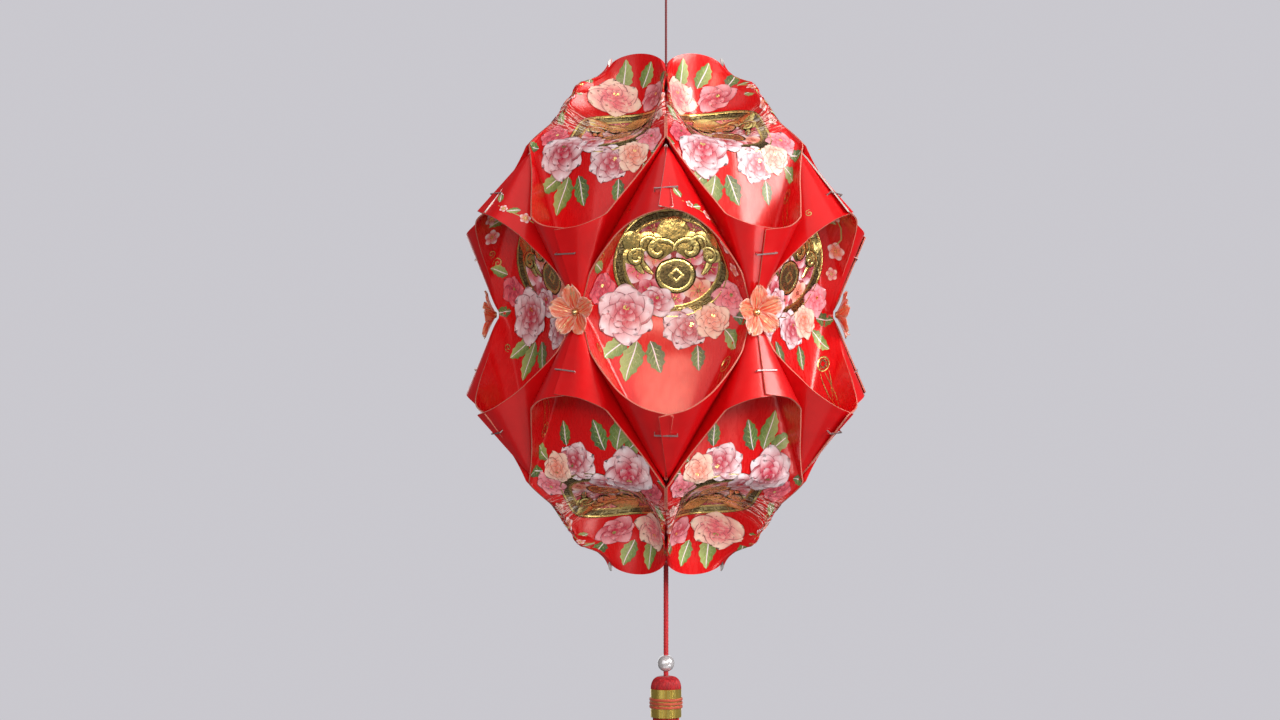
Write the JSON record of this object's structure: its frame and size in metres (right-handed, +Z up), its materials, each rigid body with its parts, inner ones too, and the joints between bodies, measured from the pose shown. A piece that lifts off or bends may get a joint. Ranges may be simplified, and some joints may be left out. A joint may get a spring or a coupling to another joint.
{
  "type": "red envelope lantern",
  "caption": "Hanging paper lantern of rolled red envelopes stapled into a faceted globe, with blossoms at its middle joints, a pearl bead and a red tassel below",
  "frame": {"origin": "the bearing point inside the top of the hanging loop", "axes": "+Z up along the thread, the front faces -Y, +X to the right seen from the front"},
  "size_m": [0.212, 0.2196, 0.4906],
  "materials": {
    "printed_paper": "coated red card paper, printed and foil stamped",
    "petal_film": "thin coral film with gold streaks",
    "gold_bead": "gold coated",
    "staple_wire": "plated wire",
    "red_thread": "fine twisted thread",
    "red_cord": "twisted cord",
    "pearl": "silvery pearl",
    "red_strands": "smooth strands",
    "gold_sleeve": "wound metallic gold thread"
  },
  "bodies": {
    "root": {"packet_equator_1": "printed_paper", "packet_equator_2": "printed_paper", "packet_equator_3": "printed_paper", "packet_equator_4": "printed_paper", "packet_equator_5": "printed_paper", "packet_equator_6": "printed_paper", "packet_upper_1": "printed_paper", "packet_upper_2": "printed_paper", "packet_upper_3": "printed_paper", "packet_upper_4": "printed_paper", "packet_upper_5": "printed_paper", "packet_upper_6": "printed_paper", "packet_lower_1": "printed_paper", "packet_lower_2": "printed_paper", "packet_lower_3": "printed_paper", "packet_lower_4": "printed_paper", "packet_lower_5": "printed_paper", "packet_lower_6": "printed_paper", "blossom_1": "petal_film", "blossom_2": "petal_film", "blossom_3": "petal_film", "blossom_4": "petal_film", "blossom_5": "petal_film", "blossom_6": "petal_film", "blossom_bead_1": "gold_bead", "blossom_bead_2": "gold_bead", "blossom_bead_3": "gold_bead", "blossom_bead_4": "gold_bead", "blossom_bead_5": "gold_bead", "blossom_bead_6": "gold_bead", "staples": "staple_wire", "hanging_loop": "red_thread", "hanging_thread": "red_thread", "support_knot": "red_cord", "tassel_cord": "red_cord", "pearl_bead": "pearl", "tassel_strands": "red_strands", "tassel_sleeve": "gold_sleeve", "tassel_bands": "red_thread"}
  },
  "joints": []
}
